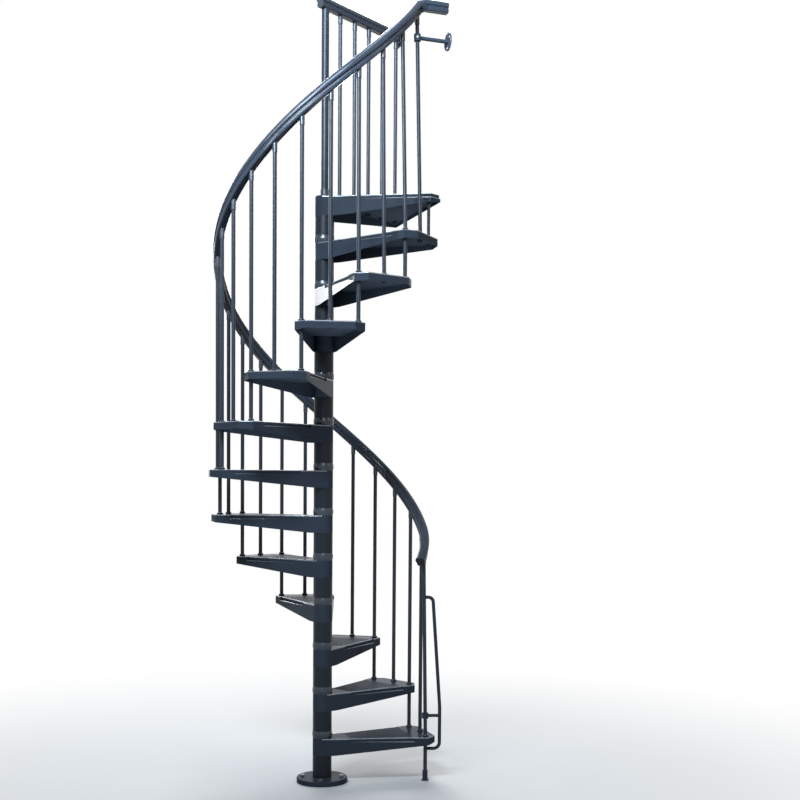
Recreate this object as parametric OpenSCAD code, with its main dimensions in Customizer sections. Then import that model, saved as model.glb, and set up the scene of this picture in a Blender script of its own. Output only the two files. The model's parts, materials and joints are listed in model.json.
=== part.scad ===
// Outdoor spiral stair: stacked treads round a steel column, with a helical handrail,
// a landing at the top and a short guard beside it. Millimetres, Z up.
// The origin is the column's axis at the underside of the base plate, and +X points
// square at the upright face that the landing, the guard and the handrail end on.

/* [Stair] */
// Distance across opposite tread corners
stair_d = 1200; // [1100:10:1400]
// Height of one step
rise = 234; // [215:1:245]
// Angle from one tread to the next
tread_turn = 28.7; // [27:0.1:30]
// Azimuth of the first tread's centre line
first_azimuth = -1.4; // [-10:0.1:5]

/* [Column] */
// Outer diameter of the hubs and spacer tubes
column_d = 100; // [90:1:110]
// Wall of the hubs and spacer tubes
column_wall = 4; // [3:0.5:6]
// Diameter of the pole that clamps the stack together
pole_d = 38; // [32:1:42]
// Height of the collar on top of each hub
collar_h = 38; // [24:1:46]
// How far a collar swells out from the tubes
collar_proud = 3; // [1:0.5:5]

/* [Base plate] */
// Diameter of the base plate
base_d = 268; // [250:1:300]
// Thickness of the base plate
base_t = 26; // [16:1:30]
// Diameter of the circle of anchor holes
anchor_circle_d = 206; // [190:1:210]
// Azimuth of the first anchor
anchor_azimuth = 70; // [0:1:90]
// Diameter of an anchor hole
anchor_hole_d = 14; // [10:1:18]

/* [Treads] */
// Width of the straight outer end
end_flat = 236; // [200:2:260]
// Size of the chamfer at each outer corner
end_chamfer = 50; // [30:2:60]
// Depth of the side flanges at the hub
hub_depth = 90; // [80:1:110]
// Depth of the side flanges at the outer end
tip_depth = 37; // [32:1:50]
// Thickness of the folded sheet
sheet_t = 4; // [3:0.5:5]
// Thickness of the walking plate
plate_t = 18; // [14:1:22]
// How far the walking plate is set in from the flanges
plate_inset = 6; // [3:1:10]
// Distance from the axis to the walking plate's inner edge
plate_start = 135; // [110:1:170]
// Distance from the axis to the cast end block's inner edge
block_start = 462; // [440:1:480]

/* [Balusters] */
// Radius of the circle that the balusters stand on
baluster_circle_r = 546; // [530:1:556]
// Diameter of a baluster
baluster_d = 20; // [16:1:24]
// Diameter of the collar at a baluster's foot
foot_collar_d = 30; // [26:1:36]
// Height of the collar at a baluster's foot
foot_collar_h = 10; // [6:1:16]
// Height of the fitting at a baluster's top
head_h = 40; // [24:1:60]

/* [Handrail] */
// Height of the handrail's underside above a tread's middle
rail_h = 1072; // [950:1:1100]
// Height of the handrail's section
rail_tall = 58; // [44:1:64]
// How far the rail's lower end curls in towards the column
low_curl = 30; // [0:1:40]
// How far the rail's upper end is drawn in towards the column
high_curl = 27; // [0:1:40]

/* [Landing] */
// Distance from the axis to the face that the landing meets
deck_distance = 530; // [500:1:540]
// Distance from the axis to the landing plate's inner edge
landing_start = 74; // [66:1:80]
// Azimuth of the guard along the landing's open side
guard_azimuth = 32; // [26:1:40]
// Height of the guard rail's underside above the landing
guard_h = 955; // [850:1:1050]
// Distance between the guard's balusters
guard_pitch = 116; // [100:1:120]
// Depth of the landing's flanges at the hub
landing_depth = 100; // [90:1:115]

/* [Foot loop] */
// Height of the loop's upper end above the ground
loop_top = 975; // [850:5:1000]
// Height of the loop's lower end above the ground
loop_bottom = 170; // [150:1:175]
// How far the loop stands out from the leg's foot
loop_reach = 75; // [66:1:90]
// Height at which the loop begins to lean in
loop_bend = 390; // [370:5:450]
// Height of the tie between the loop and the leg
tie_z = 346; // [320:1:350]
// Diameter of the loop's tube
loop_d = 18; // [14:1:22]

/* [Hidden] */
$fn = 48;
tread_count = 12;

steel_colour = [0.12, 0.13, 0.15];
collar_colour = [0.2, 0.21, 0.23];
rail_colour = [0.08, 0.09, 0.1];

hub_r = column_d / 2;
bore_r = hub_r - column_wall;
pole_r = pole_d / 2;
baluster_r = baluster_d / 2;
tread_len = sqrt(pow(stair_d / 2, 2) - pow(end_flat / 2, 2));
corner_x = tread_len - end_chamfer;
corner_y = end_flat / 2 + end_chamfer;
taper = atan2(corner_y, corner_x) - asin(hub_r / norm([corner_x, corner_y]));
landing_azimuth = first_azimuth + tread_count * tread_turn;
landing_z = (tread_count + 1) * rise;
rod_below = 14;
nut_h = 10;
nut_d = 30;
strut_d = 16;

// Landing outline, worked in the landing's own frame
deck_local = 360 - landing_azimuth;
guard_local = guard_azimuth + deck_local;
guard_count = 5;
guard_hole_gap = 76;
edge_hole_d = 11;
edge_hole_gap = 300;
edge_hole_below = 28;

// Handrail: half of its section, as half widths at parts of its height
rail_half = [
    [16, 0], [20, 0.08], [21, 0.28], [18, 0.34], [18, 0.43], [24, 0.51],
    [24.5, 0.67], [20, 0.85], [11, 0.96]
];
rail_profile = concat(
    [for (p = rail_half) [-p[0], p[1] * rail_tall]], [[0, rail_tall]],
    [for (i = [len(rail_half) - 1 : -1 : 0]) [rail_half[i][0], rail_half[i][1] * rail_tall]]
);
rail_slope = atan(rise / (baluster_circle_r * tread_turn * PI / 180));
rail_first = 0.32;
rail_last = 12.1;
low_curl_end = 1;
high_curl_start = 9.6;
high_curl_end = 11.6;
curl_rings = 10;
rail_rings = 74;
rail_cap_t = 4;
guard_overhang = 36;

// Height of tread k's walking surface, and azimuth of a place s steps round the stair
function tread_z(k) = k * rise;
function azimuth(s) = first_azimuth + (s - 1) * tread_turn;
function rail_z(s) = s * rise + rail_h;

// How far the rail is drawn in from the balusters' circle s steps round
function ease(t) = let (u = min(max(t, 0), 1)) u * u * (3 - 2 * u);
function rail_pull(s) =
    low_curl * pow(max(low_curl_end - s, 0) / (low_curl_end - rail_first), 2)
    + high_curl * ease((s - high_curl_start) / (high_curl_end - high_curl_start));
function rail_path(s) =
    let (r = baluster_circle_r - rail_pull(s))
    [r * cos(azimuth(s)), r * sin(azimuth(s)), rail_z(s)];

// Corner of two straight lines, each given by its normal's angle and its distance
function meet(a1, d1, a2, d2) =
    let (s = sin(a2 - a1))
    [(d1 * sin(a2) - d2 * sin(a1)) / s, (d2 * cos(a1) - d1 * cos(a2)) / s];
function mirrored(points) = [for (i = [len(points) - 1 : -1 : 0]) [points[i][0], -points[i][1]]];

// Tread in plan, with its sides tangent to the hub, drawn t inside the outer faces
function tread_half(t) =
    let (chamfer_d = (corner_x + corner_y) / sqrt(2))
    [
        meet(0, tread_len - t, 45, chamfer_d - t),
        meet(45, chamfer_d - t, 90 + taper, hub_r - t),
        (hub_r - t) * [cos(90 + taper), sin(90 + taper)]
    ];
module tread_plan(t) {
    polygon(concat(tread_half(t), mirrored(tread_half(t))));
    circle(r = hub_r - t);
}

// Landing in plan, drawn t inside its outer faces
module landing_plan(t) {
    chamfer_d = (corner_x + corner_y) / sqrt(2);
    front = -90 - taper;
    back = guard_local + 90;
    polygon([
        (hub_r - t) * [cos(front), sin(front)],
        meet(front, hub_r - t, -45, chamfer_d - t),
        meet(-45, chamfer_d - t, deck_local, deck_distance - t),
        meet(deck_local, deck_distance - t, back, hub_r - t),
        (hub_r - t) * [cos(back), sin(back)]
    ]);
    circle(r = hub_r - t);
}

// Side view of the flanges, deep at the hub and shallow at the outer end
module flange_side(depth, reach, top) {
    rotate([90, 0, 0]) linear_extrude(2 * stair_d, center = true) polygon([
        [-hub_r - 1, -depth], [hub_r, -depth], [reach, -tip_depth], [reach + 400, -tip_depth],
        [reach + 400, top], [-hub_r - 1, top]
    ]);
}

module hub_tube(depth) {
    translate([0, 0, -depth]) cylinder(r = hub_r, h = depth);
}
module hub_bore(depth) {
    translate([0, 0, -depth - 1]) cylinder(r = bore_r, h = depth + 2);
}

// Plan places of the balusters that one tread carries: front corner, middle, back corner
module baluster_holes(h) {
    for (side = [-0.5, 0, 0.5]) rotate([0, 0, side * tread_turn])
        translate([baluster_circle_r, 0, -h]) cylinder(r = baluster_r, h = h + 1);
}

module at_tread(k) {
    translate([0, 0, tread_z(k)]) rotate([0, 0, azimuth(k)]) children();
}

// Folded tread: hub, side flanges, and a sheet that steps down to carry the plate
module tread(k) {
    color(steel_colour) at_tread(k) difference() {
        union() {
            difference() {
                intersection() {
                    translate([0, 0, -hub_depth]) linear_extrude(hub_depth) tread_plan(0);
                    flange_side(hub_depth, tread_len, 0);
                }
                translate([0, 0, -hub_depth - 1])
                    linear_extrude(hub_depth + 1 - plate_t - sheet_t) tread_plan(sheet_t);
                intersection() {
                    translate([0, 0, -hub_depth]) linear_extrude(hub_depth - sheet_t)
                        tread_plan(sheet_t);
                    translate([-stair_d, -stair_d, -hub_depth])
                        cube([stair_d + plate_start - sheet_t, 2 * stair_d, hub_depth]);
                }
                translate([plate_start, -stair_d, -plate_t])
                    cube([stair_d, 2 * stair_d, plate_t + 1]);
            }
            hub_tube(hub_depth);
        }
        hub_bore(hub_depth);
        baluster_holes(plate_t + sheet_t + 1);
    }
}

module walking_plate() {
    translate([0, 0, -plate_t]) linear_extrude(plate_t) intersection() {
        tread_plan(plate_inset);
        translate([plate_start, -stair_d]) square([block_start - plate_start, 2 * stair_d]);
    }
}
module walking_plates() {
    color(steel_colour) for (k = [1 : tread_count]) at_tread(k) walking_plate();
}

// Cast block across a tread's outer end, which the balusters pass through
module end_block() {
    difference() {
        translate([0, 0, -plate_t]) linear_extrude(plate_t) intersection() {
            tread_plan(0);
            translate([block_start, -stair_d]) square([stair_d, 2 * stair_d]);
        }
        baluster_holes(plate_t + 1);
    }
}
module end_blocks() {
    color(steel_colour) for (k = [1 : tread_count]) at_tread(k) end_block();
}

module base_plate() {
    rim = 6;
    color(steel_colour) difference() {
        rotate_extrude($fn = 96) {
            square([base_d / 2, base_t - rim]);
            square([base_d / 2 - rim, base_t]);
            translate([base_d / 2 - rim, base_t - rim]) circle(r = rim);
        }
        for (turn = [0 : 90 : 270]) rotate([0, 0, turn + anchor_azimuth])
            translate([anchor_circle_d / 2, 0, -1]) cylinder(d = anchor_hole_d, h = base_t + 2);
    }
}

module ring(outer_r, inner_r, z0, z1) {
    translate([0, 0, z0]) difference() {
        cylinder(r = outer_r, h = z1 - z0);
        translate([0, 0, -1]) cylinder(r = inner_r, h = z1 - z0 + 2);
    }
}

// Spacer tubes: one from the base plate, then one between each pair of hubs
module column_spacers() {
    color(steel_colour) {
        ring(hub_r, bore_r, base_t, tread_z(1) - hub_depth);
        for (k = [1 : tread_count])
            ring(hub_r, bore_r, tread_z(k) + collar_h,
                tread_z(k + 1) - (k == tread_count ? landing_depth : hub_depth));
    }
}
// Collar that centres a hub on the pole, swelling out between the tubes
module swelling_collar() {
    bands = 8;
    rotate_extrude($fn = 64) polygon(concat(
        [[pole_r, 0]],
        [for (i = [0 : bands])
            [hub_r + collar_proud * sin(180 * i / bands), collar_h * i / bands]],
        [[pole_r, collar_h]]
    ));
}
// Cap on the landing's hub, with the clamp ring of the pole on top of it
module column_cap() {
    cap_t = 7;
    clamp_r = pole_r + 4;
    clamp_h = 34;
    rotate_extrude($fn = 64) difference() {
        union() {
            square([hub_r - cap_t, cap_t]);
            translate([hub_r - cap_t, 0]) intersection() {
                circle(r = cap_t);
                square(cap_t);
            }
            square([clamp_r, cap_t + clamp_h]);
        }
        translate([0, -1]) square([pole_r, cap_t + clamp_h + 2]);
    }
}
module column_collars() {
    color(collar_colour) {
        for (k = [1 : tread_count]) translate([0, 0, tread_z(k)]) swelling_collar();
        translate([0, 0, landing_z]) column_cap();
    }
}
module centre_pole() {
    color(steel_colour) translate([0, 0, base_t])
        cylinder(r = pole_r, h = landing_z + guard_h - base_t);
}

module at_landing() {
    translate([0, 0, landing_z]) rotate([0, 0, landing_azimuth]) children();
}
module landing_frame() {
    color(steel_colour) at_landing() difference() {
        union() {
            difference() {
                intersection() {
                    translate([0, 0, -landing_depth]) linear_extrude(landing_depth) landing_plan(0);
                    rotate([0, 0, deck_local]) flange_side(landing_depth, deck_distance, 0);
                }
                translate([0, 0, -landing_depth - 1])
                    linear_extrude(landing_depth + 1 - plate_t - sheet_t) landing_plan(sheet_t);
                rotate([0, 0, deck_local]) translate([landing_start, -stair_d, -plate_t])
                    cube([stair_d, 2 * stair_d, plate_t + 1]);
                intersection() {
                    translate([0, 0, -landing_depth]) linear_extrude(landing_depth - sheet_t)
                        landing_plan(sheet_t);
                    rotate([0, 0, deck_local]) translate([-stair_d, -stair_d, -landing_depth])
                        cube([stair_d + landing_start - sheet_t, 2 * stair_d, landing_depth]);
                }
            }
            hub_tube(landing_depth);
        }
        hub_bore(landing_depth);
        guard_feet() translate([0, 0, -plate_t - sheet_t - 1])
            cylinder(r = baluster_r, h = plate_t + sheet_t + 2);
        rotate([0, 0, deck_local]) for (side = [-1, 1])
            translate([deck_distance - sheet_t - 1, side * edge_hole_gap / 2, -edge_hole_below])
                rotate([0, 90, 0]) cylinder(d = edge_hole_d, h = sheet_t + 2);
    }
}
module landing_plate() {
    color(steel_colour) at_landing() difference() {
        translate([0, 0, -plate_t]) linear_extrude(plate_t) intersection() {
            landing_plan(plate_inset);
            rotate(deck_local) translate([landing_start, -stair_d]) square([stair_d, 2 * stair_d]);
        }
        guard_feet() translate([0, 0, -plate_t - 1]) cylinder(r = baluster_r, h = plate_t + 2);
    }
}
// Places of the guard's balusters, in the landing's frame
module guard_feet() {
    for (i = [1 : guard_count]) rotate([0, 0, guard_local]) translate([i * guard_pitch, 0, 0])
        children();
}

// Rod at s steps round the stair, its top cut to the rail's slope: upright from z0 to z1,
// and above that a slightly slimmer rod that leans in to the rail
bend_step = 0.3;
bend_depth = 3;
module leaning_rod(s, z0, z1) {
    r = baluster_r;
    at_rod(s, 0) {
        if (rail_pull(s) == 0)
            sloped_top(s, r) translate([0, 0, z0]) cylinder(r = r, h = rail_z(s) + r - z0);
        else {
            translate([0, 0, z0]) cylinder(r = r, h = z1 - z0);
            sloped_top(s, r) translate([0, 0, z1]) rotate([0, -rod_lean(s, z1), 0])
                translate([0, 0, -bend_depth]) cylinder(r = rod_r(s), h = rail_z(s) + 3 * r - z1);
        }
    }
}
function rod_r(s) = rail_pull(s) == 0 ? baluster_r : baluster_r - bend_step;
// Angle of the rod at s, which leans from height z1 up to the rail, and how far in it is at z
function rod_lean(s, z1) = atan(rail_pull(s) / (rail_z(s) - z1));
function rod_in(s, z1, z) = rail_pull(s) * (z - z1) / (rail_z(s) - z1);
module at_rod(s, z) {
    rotate([0, 0, azimuth(s)]) translate([baluster_circle_r, 0, z]) children();
}
// Cuts what is drawn round a rod's axis along the underside of the rail
module sloped_top(s, r) {
    difference() {
        children();
        translate([-rail_pull(s), 0, rail_z(s)]) rotate([rail_slope, 0, 0])
            translate([-2 * r, -3 * r, 0]) cube([4 * r, 6 * r, 4 * r]);
    }
}
rod_end = plate_t + sheet_t + rod_below;

// Height at which the baluster at s leaves its uppermost tread
function rod_free(s) = tread_z(floor(s + 0.5)) + foot_collar_h;
module mid_balusters() {
    color(steel_colour) for (k = [1 : tread_count])
        leaning_rod(k, tread_z(k) - rod_end, rod_free(k));
}
module corner_balusters() {
    color(steel_colour) for (k = [1 : tread_count - 1])
        leaning_rod(k + 0.5, tread_z(k) - rod_end, rod_free(k + 0.5));
}
leg_place = 0.5;
module support_leg() {
    foot_r = baluster_r + 4;
    foot_h = 55;
    flare_r = foot_r + 8;
    flare_h = 7;
    color(steel_colour) {
        leaning_rod(leg_place, 0, rod_free(leg_place));
        at_rod(leg_place, 0) {
            cylinder(r = foot_r, h = foot_h);
            cylinder(r1 = flare_r, r2 = foot_r, h = flare_h);
        }
    }
}
module landing_strut() {
    color(steel_colour) at_rod(tread_count + 0.5, tread_z(tread_count) - rod_end) {
        cylinder(r = baluster_r, h = rod_end + foot_collar_h);
        cylinder(d = strut_d, h = rod_end + rise - plate_t - sheet_t);
    }
}

// Fitting at the top of each baluster, under the rail
module rod_head(s) {
    head_r = baluster_r + 2;
    z1 = rod_free(s);
    at_rod(s, 0) sloped_top(s, head_r)
        translate([-rod_in(s, z1, rail_z(s)), 0, rail_z(s)]) rotate([0, -rod_lean(s, z1), 0])
            ring(head_r, rod_r(s), -head_h, head_r);
}
module baluster_heads() {
    color(collar_colour) {
        for (k = [1 : tread_count]) rod_head(k);
        for (k = [0 : tread_count - 1]) rod_head(k + 0.5);
        at_landing() guard_feet() ring(baluster_r + 2, baluster_r, guard_h - head_h, guard_h);
    }
}

// Collars where the balusters stand on the treads and on the landing
module baluster_collars() {
    color(steel_colour) {
        for (k = [1 : tread_count]) for (side = [0, 0.5])
            rotate([0, 0, azimuth(k + side)]) translate([baluster_circle_r, 0, 0])
                ring(foot_collar_d / 2, baluster_r, tread_z(k), tread_z(k) + foot_collar_h);
        for (k = [1 : tread_count])
            rotate([0, 0, azimuth(k - 0.5)]) translate([baluster_circle_r, 0, 0])
                ring(foot_collar_d / 2, baluster_r, tread_z(k), tread_z(k) + foot_collar_h);
        at_landing() guard_feet() ring(foot_collar_d / 2, baluster_r, 0, foot_collar_h);
    }
}
module nut() {
    difference() {
        cylinder(d = nut_d, h = nut_h, $fn = 6);
        translate([0, 0, -1]) cylinder(r = baluster_r, h = nut_h + 2);
    }
}
module baluster_nuts() {
    below = plate_t + sheet_t + nut_h;
    color(steel_colour) {
        for (k = [1 : tread_count]) for (side = [0, 0.5])
            rotate([0, 0, azimuth(k + side)])
                translate([baluster_circle_r, 0, tread_z(k) - below]) nut();
        at_landing() guard_feet() translate([0, 0, -below]) nut();
    }
}

// Point of the handrail's section (a outwards, b up from its underside) s steps round
function rail_point(s, a, b) =
    let (
        step = 0.01,
        run = rail_path(s + step) - rail_path(s - step),
        along = run / norm(run),
        out = [along[1], -along[0], 0] / norm([along[0], along[1]]),
        up = cross(out, along)
    )
    rail_path(s) + a * out + b * up;
function rail_ring(s) = [for (p = rail_profile) rail_point(s, p[0], p[1])];

// Closed skin over a list of rings that all have the same number of points, each ring
// running clockwise as seen from outside the first one
module skin(rings) {
    n = len(rings[0]);
    last = len(rings) - 1;
    polyhedron(
        points = [for (r = rings) each r],
        faces = concat(
            [[for (j = [0 : n - 1]) j]],
            [for (i = [0 : last - 1]) for (j = [0 : n - 1])
                [i * n + j, (i + 1) * n + j, (i + 1) * n + (j + 1) % n]],
            [for (i = [0 : last - 1]) for (j = [0 : n - 1])
                [i * n + j, (i + 1) * n + (j + 1) % n, i * n + (j + 1) % n]],
            [[for (j = [n - 1 : -1 : 0]) last * n + j]]
        )
    );
}
// The rings stand closer together where the lower end curls in
module handrail() {
    color(rail_colour) skin(concat(
        [for (i = [0 : curl_rings - 1])
            rail_ring(rail_first + (low_curl_end - rail_first) * i / curl_rings)],
        [for (i = [0 : rail_rings])
            rail_ring(low_curl_end + (rail_last - low_curl_end) * i / rail_rings)]
    ));
}

// Straight length of rail along +X from x0 to x1, its underside at z = 0
module straight_rail(x0, x1) {
    translate([x0, 0, 0]) rotate([90, 0, 90]) linear_extrude(x1 - x0) polygon(rail_profile);
}
guard_end_t = 5;
module guard_rail() {
    color(rail_colour) translate([0, 0, landing_z + guard_h]) intersection() {
        rotate([0, 0, guard_azimuth]) straight_rail(-guard_overhang, stair_d);
        translate([-stair_d, -stair_d, -1])
            cube([stair_d + deck_distance - guard_end_t, 2 * stair_d, 2 * rail_tall]);
    }
}
// Plate that the guard rail ends on, screwed to the face beside the landing
module guard_flange() {
    wide = 96;
    tall = rail_tall + 22;
    screw_hole_d = 9;
    color(steel_colour)
        translate([deck_distance - guard_end_t, deck_distance * tan(guard_azimuth),
            landing_z + guard_h + rail_tall / 2])
        difference() {
            translate([0, -wide / 2, -tall / 2]) cube([guard_end_t, wide, tall]);
            for (side = [-1, 1]) translate([-1, side * guard_hole_gap / 2, 0])
                rotate([0, 90, 0]) cylinder(d = screw_hole_d, h = guard_end_t + 2);
        }
}
module guard_balusters() {
    color(steel_colour) at_landing() guard_feet()
        translate([0, 0, -rod_end]) cylinder(r = baluster_r, h = rod_end + guard_h);
}

// Where the helical rail stops, and the level length that runs on from there along +X
top_place = rail_path(rail_last);
top_rise = 14;
knuckle_len = 34;
module at_rail_top() {
    translate(top_place + [0, 0, top_rise]) children();
}
module handrail_end() {
    color(rail_colour) at_rail_top() straight_rail(knuckle_len, deck_distance - top_place[0]);
}
module rail_knuckle() {
    color(rail_colour) hull() {
        at_rail_top() straight_rail(knuckle_len - 1, knuckle_len);
        skin([rail_ring(rail_last), rail_ring(rail_last + 0.004)]);
    }
}
module rail_end_caps() {
    low_end = rail_first - rail_cap_t / norm(rail_path(rail_first + 1) - rail_path(rail_first));
    color(steel_colour) {
        translate([0, 0, landing_z + guard_h]) rotate([0, 0, guard_azimuth])
            straight_rail(-guard_overhang - rail_cap_t, -guard_overhang);
        skin([rail_ring(low_end), rail_ring(rail_first)]);
    }
}

// Points round a bend of radius r at corner b on the way from a to c
function bend(a, b, c, r, n) =
    let (
        u = (a - b) / norm(a - b),
        v = (c - b) / norm(c - b),
        half = acos(u * v) / 2,
        centre = b + (u + v) / norm(u + v) * r / sin(half),
        from = b + u * r / tan(half),
        to = b + v * r / tan(half),
        e = (from - centre) / r,
        f = (to - centre) / r,
        total = acos(e * f)
    )
    [for (i = [0 : n])
        centre + r * (sin(total * (1 - i / n)) * e + sin(total * i / n) * f) / sin(total)];

// Tube of radius r along points [x, z] in the plane y = 0
module flat_tube(path, r, sides) {
    last = len(path) - 1;
    skin([for (i = [0 : last])
        let (
            before = path[max(i - 1, 0)],
            after = path[min(i + 1, last)],
            along = (after - before) / norm(after - before),
            across = [along[1], -along[0]]
        )
        [for (j = [0 : sides - 1])
            let (w = r * cos(360 * j / sides), y = r * sin(360 * j / sides))
            [path[i][0] + w * across[0], y, path[i][1] + w * across[1]]]]);
}
// The loop's corners in the leg's own plane, x from the axis of the leg's foot
leg_free = rod_free(leg_place);
loop_lean = 41;
loop_corners = [
    [rod_r(leg_place) - rod_in(leg_place, leg_free, loop_top), loop_top],
    [loop_reach - loop_lean, loop_top],
    [loop_reach, loop_bend], [loop_reach, loop_bottom], [baluster_r, loop_bottom]
];
module foot_loop() {
    c = loop_corners;
    top_bend_r = 26;
    middle_bend_r = 600;
    bottom_bend_r = 32;
    color(steel_colour) at_rod(leg_place, 0) flat_tube(concat(
        [c[0]], bend(c[0], c[1], c[2], top_bend_r, 5), bend(c[1], c[2], c[3], middle_bend_r, 3),
        bend(c[2], c[3], c[4], bottom_bend_r, 6), [c[4]]), loop_d / 2, 12);
}
module loop_tie() {
    clamp_wall = 7;
    clamp_h = 30;
    tie_r = 8.5;
    color(steel_colour) at_rod(leg_place, tie_z)
        translate([-rod_in(leg_place, leg_free, tie_z), 0, 0]) {
            rotate([0, -rod_lean(leg_place, leg_free), 0])
                ring(baluster_r + clamp_wall, rod_r(leg_place), -clamp_h / 2, clamp_h / 2);
            translate([baluster_r + clamp_wall - 2, 0, 0]) rotate([0, 90, 0])
                cylinder(r = tie_r, h = loop_reach - loop_d / 2 - baluster_r - clamp_wall + 4);
        }
}

// Bracket from the last baluster to the face that the landing meets
wall_below_rail = 105;
wall_z = rail_z(tread_count) - wall_below_rail;
wall_free = rod_free(tread_count);
wall_r = baluster_circle_r - rod_in(tread_count, wall_free, wall_z);
wall_from = wall_r * [cos(azimuth(tread_count)), sin(azimuth(tread_count))];
module at_wall() {
    translate([wall_from[0], wall_from[1], wall_z]) children();
}
flange_t = 6;
flange_d = 88;
flange_screw_r = 32;
flange_screw_d = 7;
module wall_arm() {
    clamp_wall = 7;
    clamp_h = 34;
    arm_r = 10;
    color(steel_colour) at_wall() {
        rotate([0, 0, azimuth(tread_count)]) rotate([0, -rod_lean(tread_count, wall_free), 0])
            ring(baluster_r + clamp_wall, rod_r(tread_count), -clamp_h / 2, clamp_h / 2);
        translate([baluster_r + clamp_wall - 2, 0, 0]) rotate([0, 90, 0])
            cylinder(r = arm_r,
                h = deck_distance - wall_from[0] - flange_t - baluster_r - clamp_wall + 2);
    }
}
module wall_flange() {
    color(steel_colour) at_wall() translate([deck_distance - wall_from[0] - flange_t, 0, 0])
        rotate([0, 90, 0]) difference() {
            cylinder(d = flange_d, h = flange_t);
            for (turn = [0 : 120 : 240]) rotate([0, 0, turn]) translate([flange_screw_r, 0, -1])
                cylinder(d = flange_screw_d, h = flange_t + 2);
        }
}

base_plate();
column_spacers();
column_collars();
centre_pole();
tread(1);  // tread_01
tread(2);  // tread_02
tread(3);  // tread_03
tread(4);  // tread_04
tread(5);  // tread_05
tread(6);  // tread_06
tread(7);  // tread_07
tread(8);  // tread_08
tread(9);  // tread_09
tread(10);  // tread_10
tread(11);  // tread_11
tread(12);  // tread_12
walking_plates();
end_blocks();
landing_frame();
landing_plate();
mid_balusters();
corner_balusters();
support_leg();
landing_strut();
baluster_collars();
baluster_nuts();
baluster_heads();
handrail();
rail_knuckle();
handrail_end();
rail_end_caps();
guard_rail();
guard_flange();
guard_balusters();
foot_loop();
loop_tie();
wall_arm();
wall_flange();
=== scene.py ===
# Finish, rail, small hardware, light and camera for an outdoor spiral staircase in black coated steel
import json
import math
import bpy
import bmesh
from mathutils import Matrix, Vector

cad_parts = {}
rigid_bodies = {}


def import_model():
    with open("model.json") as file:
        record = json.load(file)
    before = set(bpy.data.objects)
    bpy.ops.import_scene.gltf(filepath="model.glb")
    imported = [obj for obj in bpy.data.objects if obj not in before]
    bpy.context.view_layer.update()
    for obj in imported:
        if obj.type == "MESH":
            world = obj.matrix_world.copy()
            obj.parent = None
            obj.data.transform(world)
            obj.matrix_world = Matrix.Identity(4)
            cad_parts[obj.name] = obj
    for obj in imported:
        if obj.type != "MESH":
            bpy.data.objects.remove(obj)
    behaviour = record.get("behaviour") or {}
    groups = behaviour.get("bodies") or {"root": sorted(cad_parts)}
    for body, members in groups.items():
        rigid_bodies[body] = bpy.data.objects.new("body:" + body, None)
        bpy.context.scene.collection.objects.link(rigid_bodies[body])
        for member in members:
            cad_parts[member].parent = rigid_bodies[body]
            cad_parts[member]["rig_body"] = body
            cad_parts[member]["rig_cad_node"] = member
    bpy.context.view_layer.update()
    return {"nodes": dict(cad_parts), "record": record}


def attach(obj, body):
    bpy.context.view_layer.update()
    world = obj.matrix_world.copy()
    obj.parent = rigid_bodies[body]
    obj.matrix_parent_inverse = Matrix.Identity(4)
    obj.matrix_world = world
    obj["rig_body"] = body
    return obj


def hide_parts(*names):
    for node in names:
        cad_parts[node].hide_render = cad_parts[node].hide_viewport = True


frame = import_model()

mm = 0.001

# The stair's own sizes, in millimetres and degrees, as it is built
stair = {
    "rise": 234, "treadTurn": 28.7, "firstAzimuth": -1.4, "treadCount": 12,
    "balusterRing": 546, "balusterRadius": 10, "landingHeight": 3042,
    "plateThickness": 18, "sheetThickness": 4, "blockStart": 462, "wallDistance": 530,
}
treadSteps = range(1, stair["treadCount"] + 1)


def azimuthOf(step):
    return math.radians(stair["firstAzimuth"] + (step - 1) * stair["treadTurn"])


def turnBy(degrees, axis, size=4):
    return Matrix.Rotation(math.radians(degrees), size, axis)


def moveBy(x, y, z):
    # in millimetres
    return Matrix.Translation((x * mm, y * mm, z * mm))


def radialPlace(step, radius, height):
    # a place round the stair, in millimetres, whose x axis points away from the column
    return Matrix.Rotation(azimuthOf(step), 4, "Z") @ moveBy(radius, 0, height)


# Shader helpers

def noiseNode(nodes, detail, roughness=0.5):
    noise = nodes.new("ShaderNodeTexNoise")
    noise.inputs["Detail"].default_value = detail
    noise.inputs["Roughness"].default_value = roughness
    return noise


def rangeNode(nodes, end, values):
    # end is From or To, the values are its two limits
    ramp = nodes.new("ShaderNodeMapRange")
    ramp.inputs[end + " Min"].default_value = values[0]
    ramp.inputs[end + " Max"].default_value = values[1]
    return ramp


def mathNode(nodes, operation, kind="ShaderNodeMath"):
    node = nodes.new(kind)
    node.operation = operation
    return node


def colourMix(nodes, under, over):
    # under is None where another node gives it
    mix = nodes.new("ShaderNodeMix")
    mix.data_type = "RGBA"
    if under:
        mix.inputs["A"].default_value = (*under, 1)
    mix.inputs["B"].default_value = (*over, 1)
    return mix


def shaderGroup(name, inputs, outputs):
    # a node group that takes a vector and named values, and puts out named values
    group = bpy.data.node_groups.new(name, "ShaderNodeTree")
    group.interface.new_socket(name="Vector", in_out="INPUT", socket_type="NodeSocketVector")
    for socketName, value in inputs.items():
        socket = group.interface.new_socket(name=socketName, in_out="INPUT", socket_type="NodeSocketFloat")
        socket.default_value = value
    for socketName in outputs:
        group.interface.new_socket(name=socketName, in_out="OUTPUT", socket_type="NodeSocketFloat")
    return group, group.nodes.new("NodeGroupInput"), group.nodes.new("NodeGroupOutput")


# Fine orange-peel of a powder coat: a height for bump and a faint cloudiness for colour
grainLook = {
    "inputs": {"Grain Scale": 900.0, "Cloud Scale": 7.0},
    "peelDetail": 2.0, "peelRoughness": 0.45, "cloudDetail": 5.0, "cloudRoughness": 0.62,
}


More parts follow.
